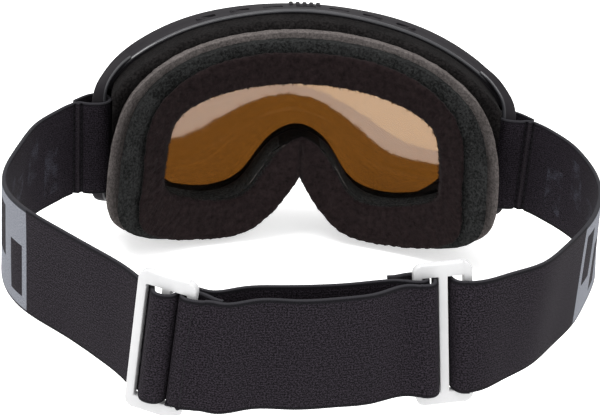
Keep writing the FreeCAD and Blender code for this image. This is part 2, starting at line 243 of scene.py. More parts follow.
def section(radii, fill=(1, 1, 1, 1), steps=4):
    """Cross-section of a band, as (share across, mm across, share deep, mm deep) for each point.

    Corners in order: outer front, outer rear, inner rear, inner front; fill adds points after each.
    """
    corners = []
    for (s, t), r in zip(((0, 0), (0, 1), (1, 1), (1, 0)), radii):
        arc = [math.radians(90) * k / steps for k in range(steps + 1)]
        if s != t:
            arc = arc[::-1]
        for phi in arc:
            across, deep = r - r * math.sin(phi), r - r * math.cos(phi)
            corners.append((s, across * (1 - 2 * s), t, deep * (1 - 2 * t)))
    whole = []
    for i, point in enumerate(corners):
        whole.append(point)
        if i % (steps + 1) == steps:
            after = np.array(corners[(i + 1) % len(corners)])
            count = fill[i // (steps + 1)]
            for k in range(1, count + 1):
                whole.append(tuple(np.array(point) + (after - np.array(point)) * k / (count + 1)))
    return whole


def lattice(count, rows, closed=False):
    """Faces over rows of points, the last row joined to the first: a ring, or a rod with capped ends."""
    faces = [(j * count + i, j * count + (i + 1) % count, (j + 1) % rows * count + (i + 1) % count,
              (j + 1) % rows * count + i) for j in range(rows) for i in range(count if closed else count - 1)]
    if not closed:
        faces.append(tuple(range(0, count * rows, count)))
        faces.append(tuple(range(count - 1, count * rows, count))[::-1])
    return faces


def band(name, outer, inner, front, rear, profile, closed=True, outer_front=None):
    """Band between two outlines and two depth surfaces, with the given cross-section.

    It runs all the way round, or has capped ends. The outer outline may be another one at the front.
    """
    points = []
    for s, across, t, deep in profile:
        edge = outer if outer_front is None else outer * t + outer_front * (1 - t)
        wide = np.linalg.norm(inner - edge, axis=1)
        flat = edge + (inner - edge) * (s + across / wide)[:, None]
        y = depth(front, flat[:, 0]) * (1 - t) + depth(rear, flat[:, 0]) * t + deep
        points.append(np.c_[flat[:, 0], y, flat[:, 1]])
    return solid(name, np.vstack(points), lattice(len(outer), len(profile), closed))


def disc(name, loop, front, rear, centre, rings=14):
    """Curved sheet inside an outline, between two depth surfaces."""
    n = len(loop)
    sides = []
    for surface in (front, rear):
        flat = [np.array([centre])]
        flat += [np.array(centre) + (loop - centre) * k / rings for k in range(1, rings + 1)]
        flat = np.vstack(flat)
        sides.append(np.c_[flat[:, 0], depth(surface, flat[:, 0]), flat[:, 1]])
    faces, size = [], len(sides[0])
    for base in (0, size):
        faces += [(base, base + 1 + i, base + 1 + (i + 1) % n) for i in range(n)]
        faces += [(base + 1 + k * n + i, base + 1 + (k + 1) * n + i,
                   base + 1 + (k + 1) * n + (i + 1) % n, base + 1 + k * n + (i + 1) % n)
                  for k in range(rings - 1) for i in range(n)]
    edge = 1 + (rings - 1) * n
    faces += [(edge + i, edge + (i + 1) % n, size + edge + (i + 1) % n, size + edge + i)
              for i in range(n)]
    return solid(name, np.vstack(sides), faces)


def roughen(obj, height, spacing, seed=0.0):
    """Push the surface in and out a little with smooth noise. Sizes in millimetres."""
    mesh = obj.data
    shifts = [v.normal * noise.noise(v.co / (spacing * MM) + Vector((seed, 0, 0))) * height * MM
              for v in mesh.vertices]
    for v, shift in zip(mesh.vertices, shifts):
        v.co += shift
    mesh.update()


def block(name, low, high, turn=0.0, at=(0, 0, 0)):
    """Plain box, turned in plan about the vertical and moved; the start of a cut or a moulding."""
    spins = Matrix.Rotation(turn, 3, "Z")
    corners = [spins @ Vector((x, y, z)) + Vector(at) for z in (low[2], high[2])
               for x, y in ((low[0], low[1]), (high[0], low[1]), (high[0], high[1]), (low[0], high[1]))]
    faces = [(3, 2, 1, 0), (4, 5, 6, 7), (0, 1, 5, 4), (1, 2, 6, 5), (2, 3, 7, 6), (3, 0, 4, 7)]
    return solid(name, corners, faces)


def shape_with_block(obj, operation, low, high, rounding, segments, turn=0.0, at=(0, 0, 0)):
    """Cut away, or join on, a box with rounded edges."""
    boolean(obj, bevelled(block("block", low, high, turn, at), rounding, segments), operation)


# ---------------------------------------------------------------- materials

class Shader:
    """A node material under construction."""

    def __init__(self, name):
        self.material = bpy.data.materials.new(name)
        self.material.use_nodes = True
        self.nodes = self.material.node_tree.nodes
        self.surface = self.nodes["Principled BSDF"]

    def feed(self, socket, value):
        if isinstance(value, bpy.types.NodeSocket):
            self.material.node_tree.links.new(value, socket)
        else:
            socket.default_value = value

    def add(self, kind, inputs=None, **settings):
        node = self.nodes.new(kind)
        for key, value in settings.items():
            setattr(node, key, value)
        for key, value in (inputs or {}).items():
            self.feed(node.inputs[key], value)
        return node

    def math(self, operation, a, b=0.0, clamp=False):
        return self.add("ShaderNodeMath", {0: a, 1: b}, operation=operation, use_clamp=clamp).outputs[0]

    def place(self):
        """Position on the object in millimetres."""
        where = self.add("ShaderNodeTexCoord").outputs["Object"]
        return self.add("ShaderNodeVectorMath", {0: where, "Scale": 1000.0}, operation="SCALE").outputs[0]

    def noise(self, where, per_mm, detail=2.0, rough=0.5):
        inputs = {"Vector": where, "Scale": per_mm, "Detail": detail, "Roughness": rough}
        return self.add("ShaderNodeTexNoise", inputs).outputs["Fac"]

    def ramp(self, value, low, high):
        inputs = {"Value": value, "From Min": low, "From Max": high}
        return self.add("ShaderNodeMapRange", inputs).outputs["Result"]

    def colours(self, share, first, second):
        node = self.add("ShaderNodeMix", data_type="RGBA")
        self.feed(node.inputs[0], share)
        for socket, colour in ((node.inputs[6], first), (node.inputs[7], second)):
            self.feed(socket, colour if isinstance(colour, bpy.types.NodeSocket) else (*colour, 1))
        return node.outputs[2]

    def bump(self, height, distance_mm, strength=1.0, under=None):
        inputs = {"Height": height, "Distance": distance_mm * MM, "Strength": strength}
        if under is not None:
            inputs["Normal"] = under
        return self.add("ShaderNodeBump", inputs).outputs["Normal"]

    def finish(self, colour, roughness, normal=None, **extra):
        inputs = {"Base Color": colour, "Roughness": roughness, **extra}
        if normal is not None:
            inputs["Normal"] = normal
        for key, value in inputs.items():
            self.feed(self.surface.inputs[key.replace("_", " ")], value)
        return self.material


def foam_material(name, dark, light, cell=1.2):
    """Fine-celled foam: small pits, mottled a little lighter and darker."""
    s = Shader(name)
    where = s.place()
    cells = s.add("ShaderNodeTexVoronoi", {"Vector": where, "Scale": cell}).outputs["Distance"]
    fine = s.noise(where, 1.0, 3.0, 0.8)
    broad = s.noise(where, 0.12, 2.0)
    tone = s.math("ADD", s.math("MULTIPLY", fine, 0.85), s.math("MULTIPLY", broad, 0.2))
    colour = s.colours(s.ramp(tone, 0.43, 0.63), dark, light)
    normal = s.bump(cells, 0.35, 0.5, s.bump(fine, 0.25, 0.6))
    return s.finish(colour, 0.95, normal, Specular_IOR_Level=0.08)


def fleece_material():
    """Brushed fleece: matted short pile with soft streaks and a faint sheen."""
    s = Shader("fleece")
    where = s.place()
    pile = s.noise(where, 1.2, 5.0, 0.85)
    tufts = s.noise(where, 0.45, 3.0, 0.6)
    tone = s.math("ADD", s.math("MULTIPLY", pile, 0.7), s.math("MULTIPLY", tufts, 0.5))
    colour = s.colours(s.ramp(tone, 0.4, 0.85), (0.0022, 0.0013, 0.0014), (0.0215, 0.0143, 0.0146))
    normal = s.bump(tufts, 0.5, 0.4, s.bump(pile, 0.45, 0.8))
    return s.finish(colour, 1.0, normal, Specular_IOR_Level=0.03, Sheen_Weight=0.03)


def moulded_material(name, dark, light, roughness, shine, grain_mm=0.02):
    """Moulded plastic with a fine spark-eroded grain and slight handling wear."""
    s = Shader(name)
    where = s.place()
    grain = s.noise(where, 3.5, 3.0, 0.6)
    wear = s.noise(where, 0.07, 4.0, 0.65)
    colour = s.colours(s.ramp(wear, 0.3, 0.75), dark, light)
    rough = s.add("ShaderNodeMapRange", {"Value": wear, "From Min": 0.3, "From Max": 0.75,
                                         "To Min": roughness - 0.06, "To Max": roughness + 0.08})
    return s.finish(colour, rough.outputs["Result"], s.bump(grain, grain_mm, 0.5), Specular_IOR_Level=shine)


# The lens coating mirrors as if its sheet were curved this much more.
COATING_CURVE = 1.33


def lens_material(name, tint, mirror_in, mirror_out):
    """Tinted lens: light passes through the tint; each side also mirrors with its own colour."""
    s = Shader(name)
    inward = s.add("ShaderNodeSeparateXYZ", {0: s.add("ShaderNodeNewGeometry").outputs["Normal"]})
    faces_face = s.ramp(inward.outputs["Y"], -0.2, 0.2)
    back = s.add("ShaderNodeNewGeometry").outputs["Backfacing"]
    mirror = s.colours(faces_face, mirror_out, mirror_in)
    smear = s.ramp(s.noise(s.place(), 0.05, 3.0, 0.55), 0.2, 0.9)
    rough = s.math("ADD", s.math("MULTIPLY", smear, 0.02), 0.045)
    clear = s.add("ShaderNodeBsdfTransparent", {"Color": (*tint, 1)})
    turned = s.add("ShaderNodeCombineXYZ", {"X": s.math("MULTIPLY", inward.outputs["X"], COATING_CURVE),
                                            "Y": inward.outputs["Y"], "Z": inward.outputs["Z"]})
    facing = s.add("ShaderNodeVectorMath", {0: turned.outputs[0]}, operation="NORMALIZE").outputs[0]
    shine = s.add("ShaderNodeBsdfAnisotropic", {"Color": mirror, "Roughness": rough, "Normal": facing})
    both = s.add("ShaderNodeAddShader")
    s.feed(both.inputs[0], clear.outputs[0])
    s.feed(both.inputs[1], shine.outputs[0])
    pick = s.add("ShaderNodeMixShader", {"Fac": back})
    s.feed(pick.inputs[1], both.outputs[0])
    s.feed(pick.inputs[2], clear.outputs[0])
    s.feed(s.nodes["Material Output"].inputs["Surface"], pick.outputs[0])
    s.nodes.remove(s.surface)
    return s.material


def knit_material(name, cut):
    """Elastic webbing. u runs along the strap and v across it, in millimetres; the inside of the strap
    has v raised by INSIDE. A grey band with dark blocks is woven in along one stretch."""
    s = Shader(name)
    uv = s.add("ShaderNodeSeparateXYZ", {0: s.add("ShaderNodeUVMap", uv_map="strap").outputs[0]})
    u, v = s.math("DIVIDE", uv.outputs["X"], UV_SCALE), s.math("DIVIDE", uv.outputs["Y"], UV_SCALE)
    inside = s.math("GREATER_THAN", v, INSIDE / 2)
    across = s.math("SUBTRACT", v, s.math("MULTIPLY", inside, INSIDE))
    where = s.add("ShaderNodeCombineXYZ", {"X": u, "Y": across, "Z": inside}).outputs[0]
    drift = s.math("MULTIPLY", s.noise(where, 0.5, 2.0), 5.0)
    columns = s.math("SINE", s.math("ADD", s.math("MULTIPLY", u, math.tau / 0.8), drift))
    lean = s.math("ADD", s.math("MULTIPLY", columns, 0.9), drift)
    rows = s.math("SINE", s.math("ADD", s.math("MULTIPLY", across, math.tau / 0.9), lean))
    loops = s.math("MULTIPLY", s.math("ADD", columns, rows), 0.25)
    yarn = s.noise(where, 1.9, 3.0, 0.7)
    sparkle = s.ramp(s.math("ADD", yarn, s.math("MULTIPLY", rows, 0.03)), 0.45, 0.585)
    broad = s.noise(where, 0.05, 2.0)
    plain = s.colours(sparkle, (0.0011, 0.0005, 0.0013), (0.0245, 0.0195, 0.0262))
    plain = s.colours(s.math("MULTIPLY", broad, 0.15), plain, (0.007, 0.0055, 0.008))
    # painted shade in the seam's stitch creases and a painted highlight on the ridge between them
    plain = seam_shade_and_highlight(s, plain, u, inside, cut["seam"])
    colour = woven_band(s, plain, u, across, inside, yarn, cut["band_from"], cut["band_to"])
    edge = s.ramp(s.math("ABSOLUTE", across), STRAP_WIDE / 2 - 1.5, STRAP_WIDE / 2 - 1.1)
    colour = s.colours(s.math("MULTIPLY", edge, 0.9), colour, (0.0035, 0.0033, 0.0045))
    # painted highlight: a thin lighter line along the rolled edges of the webbing
    edge_highlight = s.ramp(s.math("ABSOLUTE", across), STRAP_WIDE / 2 - 0.5, STRAP_WIDE / 2 - 0.15)
    colour = s.colours(s.math("MULTIPLY", edge_highlight, 0.8), colour, (0.03, 0.029, 0.033))
    normal = s.bump(loops, 0.12, 0.55, s.bump(yarn, 0.22, 0.5))
    return s.finish(colour, 0.9, normal, Specular_IOR_Level=0.12)


def seam_shade_and_highlight(s, plain, u, inside, seam):
    """Painted shade in the creases along the two rows of stitching, on the inside, and a painted highlight on
    the ridge between them.
    """
    # the crease colour is painted shade and the ridge colour is a painted highlight
    crease_shade, ridge_highlight = (0.0008, 0.0006, 0.0008), (0.03, 0.025, 0.028)
    marks = ((SEAM_ROWS[0], 0.75, 0.75, crease_shade), (SEAM_ROWS[1], 0.6, 0.75, crease_shade),
             (SEAM_RIDGE, 1.3, 0.35, ridge_highlight))
    for place, reach, strength, tone in marks:
        away = s.math("ABSOLUTE", s.math("SUBTRACT", u, seam + place))
        share = s.math("MULTIPLY", s.ramp(away, reach, reach * 0.4), inside)
        plain = s.colours(s.math("MULTIPLY", share, strength), plain, tone)
    return plain


def woven_band(s, plain, u, across, inside, yarn, band_from, band_to):
    """Grey woven field with a row of dark blocks, set low and high by turns; on the inside only loose
    floats of the blocks show."""
    def between(value, low, high):
        over = s.math("GREATER_THAN", value, low)
        return s.math("MULTIPLY", over, s.math("LESS_THAN", value, high))

    field = between(u, band_from, band_to)
    grey = s.colours(s.ramp(yarn, 0.35, 0.7), (0.105, 0.11, 0.128), (0.24, 0.25, 0.28))
    pitch = (band_to - band_from) / round((band_to - band_from) / BLOCK_PITCH)
    cycle = s.math("FRACT", s.math("DIVIDE", s.math("SUBTRACT", u, band_from), 2 * pitch))
    low = s.math("MULTIPLY", between(cycle, 0.1, 0.4), between(across, -14.5, 5.0))
    high = s.math("MULTIPLY", between(cycle, 0.6, 0.9), between(across, -5.0, 14.5))
    blocks = s.math("MAXIMUM", low, high)
    outside = s.colours(blocks, grey, plain)
    worn = s.ramp(s.noise(s.place(), 0.16, 3.0, 0.7), 0.45, 0.62)
    floats = s.math("MULTIPLY", blocks, s.math("MULTIPLY", worn, s.ramp(yarn, 0.35, 0.6)))
    under = s.colours(s.math("MULTIPLY", floats, 0.6), plain, (0.05, 0.052, 0.068))
    woven = s.colours(inside, outside, under)
    return s.colours(field, plain, woven)


def thread_material():
    s = Shader("thread")
    twist = s.noise(s.place(), 2.2, 2.0)
    colour = s.colours(twist, (0.003, 0.0026, 0.0034), (0.018, 0.016, 0.02))
    return s.finish(colour, 0.85, s.bump(twist, 0.1, 0.6), Specular_IOR_Level=0.15)


def floor_material():
    s = Shader("studio_floor")
    tone = s.noise(s.place(), 0.004, 2.0)
    colour = s.colours(tone, (0.9, 0.9, 0.9), (0.93, 0.93, 0.93))
    return s.finish(colour, 0.9, Emission_Color=colour, Emission_Strength=0.62)


def dress(obj, material, slot, body, *nodes):
    """Give a finished piece its body, the CAD nodes that it stands for, and its material; its slot is not
    used.

    A piece that already has its own materials comes with None.
    """
    if material is not None:
        obj.data.materials.clear()
        obj.data.materials.append(material)
    if body:
        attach(obj, body)
    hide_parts(*nodes)
    return obj


# ---------------------------------------------------------------- frame and lenses

FRAME_WALL = 2.5
# Rows of the frame's cross-section, counted from its front corner, that make its rear bead.
BEAD_ROWS = range(8, 14)


def frame_section():
    """Channel section of the frame: groove and lip for the lens, web, outer wall, rear flange."""
    wall = FRAME_WALL
    front_corner = [(0, 2.2 - 2.2 * math.sin(a), 0, 2.2 - 2.2 * math.cos(a))
                    for a in np.radians([0, 22, 45, 68, 90])]
    bead = [(0, 0, 0.5, 0), (0, 0, 1, -2.4), (0, -0.1, 1, -1.7), (0, -0.45, 1, -1.2), (0, -0.6, 1, -0.6),
            (0, -0.5, 1, 0.0), (0, -0.15, 1, 0.45), (0, 0.3, 1, 0.6), (0, 0.75, 1, 0.4), (0, 0.9, 1, 0)]
    rear = [(0, 3.0, 1, 0), (0.5, 1, 1, 0), (1, -0.8, 1, 0), (1, -0.2, 1, -0.2), (1, 0, 1, -0.8),
            (1, 0, 1, -1.3), (1, -0.3, 1, -1.8), (1, -0.9, 1, -2.0)]
    channel = [(0.3, 2, 1, -2.0), (0, wall + 0.8, 1, -2.0), (0, wall, 1, -2.8), (0, wall, 0, 6.3),
               (0, wall + 0.8, 0, 5.5), (0.3, 2, 0, 5.5), (1, -3.6, 0, 5.5), (1, -3.1, 0, 5.0),
               (1, -3.1, 0, 3.1)]
    groove = [(LENS_SHARE, 0.6, 0, 3.1), (LENS_SHARE, 0, 0, 3.1), (LENS_SHARE, 0, 0, 1.5),
              (LIP_SHARE, -0.4, 0, 1.5), (LIP_SHARE, 0, 0, 1.1), (LIP_SHARE, -0.1, 0, 0.4),
              (LIP_SHARE, -0.6, 0, 0.0)]
    return front_corner + bead + rear + channel + groove


def vent_places():
    """Middle, turn and half length of each slot: along the top wall, and below at each cheek."""
    edge = outline(mixed(FRAME_EDGE, FRONT_EDGE, 0.5))
    upper, lower = edge[edge[:, 1] > 20], edge[edge[:, 1] < -25]
    places = [(x, upper, 4.2) for x in range(-42, 43, 14)]
    places += [(x * side, lower, 3.4) for x in (36, 46, 56) for side in (-1, 1)]
    for x, stretch, half in places:
        z = stretch[np.argmin(abs(stretch[:, 0] - x)), 1]
        yield (x, depth((-39.0, 131.0), x), z), math.atan2(x, 140.0), half


def cut_vents(shell):
    for at, turn, half in vent_places():
        shape_with_block(shell, "DIFFERENCE", (-half, -1.1, -4), (half, 1.1, 4), 0.7, 3, turn, at)


def add_ribs(shell):
    """Small moulded ribs across the top of the rim, by its middle."""
    for k in range(5):
        x = 6.2 - 2.9 * k
        y = depth((-43.0, 134.0), x)
        shape_with_block(shell, "UNION", (-0.9, -2.2, -1.2), (0.9, 2.2, 0.4), 0.5, 3, 0.0, (x, y, 51.1))


def strap_bar(side):
    """Upright strap bar on one side of the frame; its ends sweep forward and run into the rim.

    Its rear inner corner takes the frame's second material, glossier and painted lighter as a highlight.
    """
    spine = spline([(73.0, -14.6, 34.6), (76.8, -11.2, 32.2), (80.4, -7.0, 28.6), (82.9, -3.2, 24.2),
                    (BAR_X, BAR_Y, 19.5), (BAR_X, BAR_Y, 0), (BAR_X, BAR_Y, -19), (83.2, -2.6, -22.6),
                    (81.6, -5.8, -25.4), (79.0, -9.6, -27.2), (76.0, -13.0, -28.0)], 8)
    spine[:, 0] *= side
    ahead = np.gradient(spine, axis=0)
    ahead /= np.linalg.norm(ahead, axis=1)[:, None]
    across = np.array([1.0, 0, 0]) - ahead * ahead[:, :1]
    across /= np.linalg.norm(across, axis=1)[:, None]
    thick = np.cross(ahead, across)
    wide = np.interp(abs(spine[:, 2]), (20, 27, 33), (BAR_HALF, BAR_HALF - 0.6, 2.2))[:, None]
    turns = np.radians(np.arange(0, 360, 15))
    rings = [spine + across * wide * np.sign(math.cos(a)) * abs(math.cos(a)) ** 0.45
             + thick * BAR_THICK / 2 * np.sign(math.sin(a)) * abs(math.sin(a)) ** 0.7 for a in turns]
    bar = solid("bar", np.vstack(rings), lattice(len(spine), len(turns)))
    spans = len(spine) - 1
    highlight_rows = range(13, 17) if side > 0 else range(19, 23)
    for face in bar.data.polygons[:spans * len(turns)]:
        face.material_index = int(face.index // spans in highlight_rows)
    return bar


def cut_strap_recesses(shell):
    """Clear the rear of the rim beside each strap bar, where the webbing passes."""
    for side in (1, -1):
        low, high = sorted((77.9 * side, 96 * side))
        shape_with_block(shell, "DIFFERENCE", (low, -10.6, -22.5), (high, 12, 22.5), 2.0, 4)


def build_frame(material, gloss_highlight):
    """Rim, strap bars, slots and ribs in one moulding; its rear bead is glossier and painted lighter as a
    highlight.
    """
    edge, window = outline(FRAME_EDGE), outline(APERTURE)
    shell = band("frame_shell", edge, window, FRAME_FRONT, FRAME_REAR, frame_section(),
                 outer_front=outline(FRONT_EDGE))
    shell.data.materials.append(material)
    shell.data.materials.append(gloss_highlight)
    # the bead rows take the glossier black, whose colour is painted lighter as a highlight line
    for face in shell.data.polygons:
        face.material_index = int(face.index // len(edge) in BEAD_ROWS)
    for v in shell.data.vertices:
        v.co.z = max(v.co.z, FRAME_LOW.z)
    cut_vents(shell)
    cut_strap_recesses(shell)
    add_ribs(shell)
    for side in (1, -1):
        bar = strap_bar(side)
        bar.data.materials.append(material)
        bar.data.materials.append(gloss_highlight)
        boolean(shell, bar, "UNION")
    tidy_mesh(shell, 32, weld=True)
    dress(shell, None, "frame_tpu", "goggles", "frame")


def build_lenses():
    lens_edge = outline(mixed(FRONT_EDGE, APERTURE, LENS_SHARE))
    outer = disc("outer_lens_sheet", grown(lens_edge, -0.1), LENS_FRONT, LENS_REAR, (0, 16))
    amber = lens_material("amber_lens", (0.296, 0.182, 0.072), (0.128, 0.083, 0.029), (0.42, 0.26, 0.1))
    dress(outer, amber, "outer_lens_amber", "goggles", "outer_lens")
    window = outline(APERTURE)
    reach = np.interp(abs(window[:, 0]), (54, 64), (3.0, -0.6))[:, None]
    inner = disc("inner_lens_sheet", grown(window, reach), INNER_FRONT, INNER_REAR, (0, 16))
    clear = lens_material("clear_lens", (0.88, 0.87, 0.86), (0.128, 0.111, 0.098), (0.05, 0.05, 0.05))
    dress(inner, clear, "inner_lens_clear", "goggles", "inner_lens")
    foam = foam_material("gasket_foam", (0.006, 0.006, 0.006), (0.02, 0.02, 0.02))
    gasket = band("gasket_bead", grown(window, reach), grown(window, reach - 2.2), GASKET_FRONT, GASKET_REAR,
                  section((0.6, 0.6, 0.6, 0.6), (1, 1, 1, 1), 3))
    dress(gasket, foam, "gasket_foam", "goggles", "lens_spacer_gasket")


# ---------------------------------------------------------------- face padding and vent foam

def padding_loops(share_out, share_in, cusp):
    outer = outline(mixed(FOAM_EDGE, FLEECE_EDGE, share_out), cusp)
    inner = outline(mixed(APERTURE, OPENING, share_in), cusp)
    return outer, inner


def build_foams():
    """Three bonded layers of die-cut foam, each a little smaller towards the face."""
    black = foam_material("black_foam", (0.0016, 0.0013, 0.0013), (0.0115, 0.0102, 0.0102))
    brown = foam_material("grey_brown_foam", (0.058, 0.051, 0.049), (0.12, 0.106, 0.102))
    green = foam_material("grey_green_foam", (0.0036, 0.0038, 0.0037), (0.0235, 0.0242, 0.024))
    # inner-wall foam: grey-green, painted about twice as light as the face foam for light on those walls
    lit_lining = foam_material("lit_lining_foam", (0.007, 0.0074, 0.0072), (0.046, 0.0475, 0.047))
    outer = outline(mixed(FOAM_EDGE, FRAME_EDGE, 0.72))
    inner = padding_loops(0.0, 0.15, False)[1]
    base = band("foam_base_ring", outer, inner, FRAME_REAR, BASE_REAR,
                section((0.6, 3.4, 0.6, 0.6), (5, 3, 3, 2)))
    for side in (1, -1):
        low, high = sorted((77.7 * side, 110 * side))
        shape_with_block(base, "DIFFERENCE", (low, -60, -30), (high, 40, 26.5), 3.0, 4)
    tidy_mesh(base, weld=True)
    dress(base, black, "foam_black", "goggles", "foam_base")
    line_inside(base, lit_lining)
    outer, inner = padding_loops(0.0, 0.35, True)
    middle = band("foam_middle_ring", outer, inner, BASE_REAR, MIDDLE_REAR,
                  section((0.25, 0.5, 0.4, 0.25), (3, 3, 2, 3), 3))
    roughen(middle, 0.25, 3.0)
    dress(middle, brown, "foam_grey_brown", "goggles", "foam_middle")
    line_inside(middle, lit_lining)
    outer, inner = padding_loops(0.35, 0.8, True)
    face = band("foam_face_ring", outer, inner, MIDDLE_REAR, FACE_FOAM_REAR,
                section((0.25, 0.7, 0.6, 0.25), (3, 3, 2, 3), 3))
    roughen(face, 0.25, 3.0, 5.0)
    dress(face, green, "foam_grey_green", "goggles", "foam_face")


def line_inside(ring, material):
    """Give the walls that face either eye opening another material: the grey-green foam colour, painted about
    twice as light as the face foam as light falling on these walls.
    """
    ring.data.materials.append(material)
    for face in ring.data.polygons:
        middle = (face.center - ZERO) / MM
        towards = Vector((math.copysign(28, middle.x) - middle.x, 0, -middle.z))
        if abs(middle.x) < 75 and face.normal.dot(towards) > 0.75 * towards.length:
            face.material_index = 1


def build_fleece():
    outer, inner = outline(FLEECE_EDGE, True, 36), outline(OPENING, False, 36)
    fleece = band("fleece_facing", outer, inner, FACE_FOAM_REAR, FLEECE_REAR,
                  section((0.5, 1.4, 1.6, 0.6), (1, 14, 2, 8), 5))
    for v in fleece.data.vertices:
        aside = abs((v.co - ZERO).x) / MM
        if v.co.z < ZERO.z + 10 * MM:
            v.co.y -= 1.3 * MM * max(0, 1 - aside / 1.5)
    roughen(fleece, 0.35, 2.5, 9.0)
    roughen(fleece, 0.3, 0.6, 4.0)
    brushed = fleece_material()
    dress(fleece, brushed, "fleece", "goggles", "face_fleece")
    dress(loose_fibres(inner), brushed, "fleece", "goggles", "face_fleece")


FIBRES = 420


def loose_fibres(edge):
    """Short tufts of pile that stand in from the cut edge round the eye opening."""
    inward = grown(edge, -1.0) - edge
    points, faces = [], []
    for _ in range(FIBRES):
        i = random.randrange(len(edge))
        x, z = edge[i] + (edge[(i + 1) % len(edge)] - edge[i]) * random.random()
        root = np.array([x, depth(FACE_FOAM_REAR, x) + random.uniform(0.4, 1.9), z])
        lean = random.uniform(-0.9, 0.9)
        ahead, aside = inward[i], lean * inward[i][::-1]
        way = np.array([ahead[0] - aside[0], random.uniform(-0.5, 0.5), ahead[1] + aside[1]])
        add_fibre(points, faces, root, way / np.linalg.norm(way), random.uniform(0.5, 1.3))
    return solid("fleece_fibres", points, faces)


def add_fibre(points, faces, root, way, length, radius=0.16):
    """One tapering three-sided fibre, rooted in the fleece."""
    base = len(points)
    side = np.cross(way, (0.0, 1.0, 0.0))
    side /= np.linalg.norm(side)
    third = np.cross(way, side)
    for along, wide in ((-0.6, 1.0), (0.55, 0.75)):
        for a in (0, math.tau / 3, 2 * math.tau / 3):
            around = side * math.cos(a) + third * math.sin(a)
            points.append(root + way * length * along + around * radius * wide)
    points.append(root + way * length)
    faces.append((base, base + 2, base + 1))
    for k in range(3):
        j = (k + 1) % 3
        faces.append((base + k, base + j, base + 3 + j, base + 3 + k))
        faces.append((base + 3 + k, base + 3 + j, base + 6))


def build_vent_foam():
    material = foam_material("vent_foam", (0.01, 0.009, 0.01), (0.028, 0.026, 0.029), 0.9)
    edge = grown(outline(FRAME_EDGE), -2.65)
    inside = grown(outline(FRAME_EDGE), -5.4)
    profile = section((0.5, 0.5, 0.5, 0.5), (1, 1, 1, 1), 2)
    spans = {"top_vent_foam": (-50, 50, 30, 60), "left_vent_foam": (31, 62, -50, -20),
             "right_vent_foam": (-62, -31, -50, -20)}
    for node, (x_low, x_high, z_low, z_high) in spans.items():
        keep = (edge[:, 0] > x_low) & (edge[:, 0] < x_high) & (edge[:, 1] > z_low) & (edge[:, 1] < z_high)
        strip = band(node + "_strip", edge[keep], inside[keep], VENT_FRONT, VENT_REAR, profile, closed=False)
        for at, turn, half in vent_places():
            if x_low < at[0] < x_high and z_low < at[2] < z_high:
                add_pad(strip, at, turn, half)
        dress(strip, material, "vent_foam", "goggles", node)


def add_pad(strip, at, turn, half):
    """Foam that swells into a vent slot, a little below the outer face of the wall."""
    low, high = (-3.4, -0.12) if at[2] > 0 else (0.12, 3.4)
    ends = (0.15 - half, -0.95, low), (half - 0.15, 0.95, high)
    shape_with_block(strip, "UNION", *ends, 0.4, 3, turn, at)


# ---------------------------------------------------------------- strap

# The strap's texture runs in millimetres times UV_SCALE, and its inside is INSIDE further across.
INSIDE = 100.0
UV_SCALE = 0.01
# About one dark block to this length of the woven band.
BLOCK_PITCH = 15.0
# Along a seam at the start of a piece: two rows of stitches, and the ridge between them.
SEAM_ROWS, SEAM_RIDGE = (-0.2, -3.9), -2.0
# A row of stitches across the webbing: how many, the place of the lowest and their spacing.
STITCHES, STITCH_LOW, STITCH_PITCH = 14, -18.8, 2.7
# From the cut at the far slider: the seam, the row of stitches over it, and the middle of the end bar.
END_SEAM, END_ROW, END_MIDDLE = 3.4, 3.2, 17.0


def local_to_plan(points, seat):
    """Points given as (along the slider, outwards from it) to plan."""
    at, turn = seat[0], math.radians(seat[1])
    c, s = math.cos(turn), math.sin(turn)
    return [(at[0] + p[0] * c - p[1] * s, at[1] + p[0] * s + p[1] * c) for p in points]


class Path:
    """A plan curve with its arc length."""

    def __init__(self, points, outward, step=40):
        curve = spline(points, step)
        run = np.r_[0, np.cumsum(np.linalg.norm(np.diff(curve, axis=0), axis=1))]
        self.length = run[-1]
        self.run, self.curve, self.outward = run, curve, outward

    def at(self, u):
        return np.c_[np.interp(u, self.run, self.curve[:, 0]), np.interp(u, self.run, self.curve[:, 1])]

    def beside(self, u, out):
        """Points a distance outwards from the curve, which runs on straight past its ends."""
        inner = np.clip(u, 0.4, self.length - 0.4)
        ahead = self.at(inner + 0.4) - self.at(inner - 0.4)
        ahead /= np.linalg.norm(ahead, axis=1)[:, None]
        side = np.c_[ahead[:, 1], -ahead[:, 0]] * self.outward
        over = (u - np.clip(u, 0, self.length))[:, None]
        return self.at(u) + ahead * over + side * np.reshape(out, (-1, 1))

    def nearest(self, point):
        return self.run[np.argmin(np.linalg.norm(self.curve - np.array(point), axis=1))]


def webbing(name, path, start, end, bend, spacing=1.2):
    """Webbing from start to end along a path.

    bend(u, z) gives its shift in x and y and outwards, and how much further its inner face is pinched.
    """
    count = max(4, int((end - start) / spacing))
    along = np.linspace(start, end, count + 1)
    half, edge = STRAP_WIDE / 2, STRAP_THICK / 2
    flat = np.linspace(-half + edge, half - edge, 25)
    turn = np.radians([30, 60, 90, 120, 150])
    ring = [(edge, z, 0) for z in flat] + [(edge * math.cos(a), half - edge + edge * math.sin(a), 0)
                                           for a in turn]
    ring += [(-edge, z, 1) for z in flat[::-1]]
    ring += [(-edge * math.cos(a), -half + edge - edge * math.sin(a), 1) for a in turn]
    points, uv = [], []
    for out, z, inner in ring:
        shift = np.array([bend(u, z) for u in along])
        plan = path.beside(along, out + shift[:, 2] + shift[:, 3] * inner) + shift[:, :2]
        points.append(np.c_[plan, np.full(len(along), z)])
        uv.append(np.c_[along, np.full(len(along), z + inner * INSIDE)])
    obj = solid(name, np.vstack(points), lattice(len(along), len(ring)), 60)
    paint_uv(obj, np.vstack(uv) * UV_SCALE)
    return obj


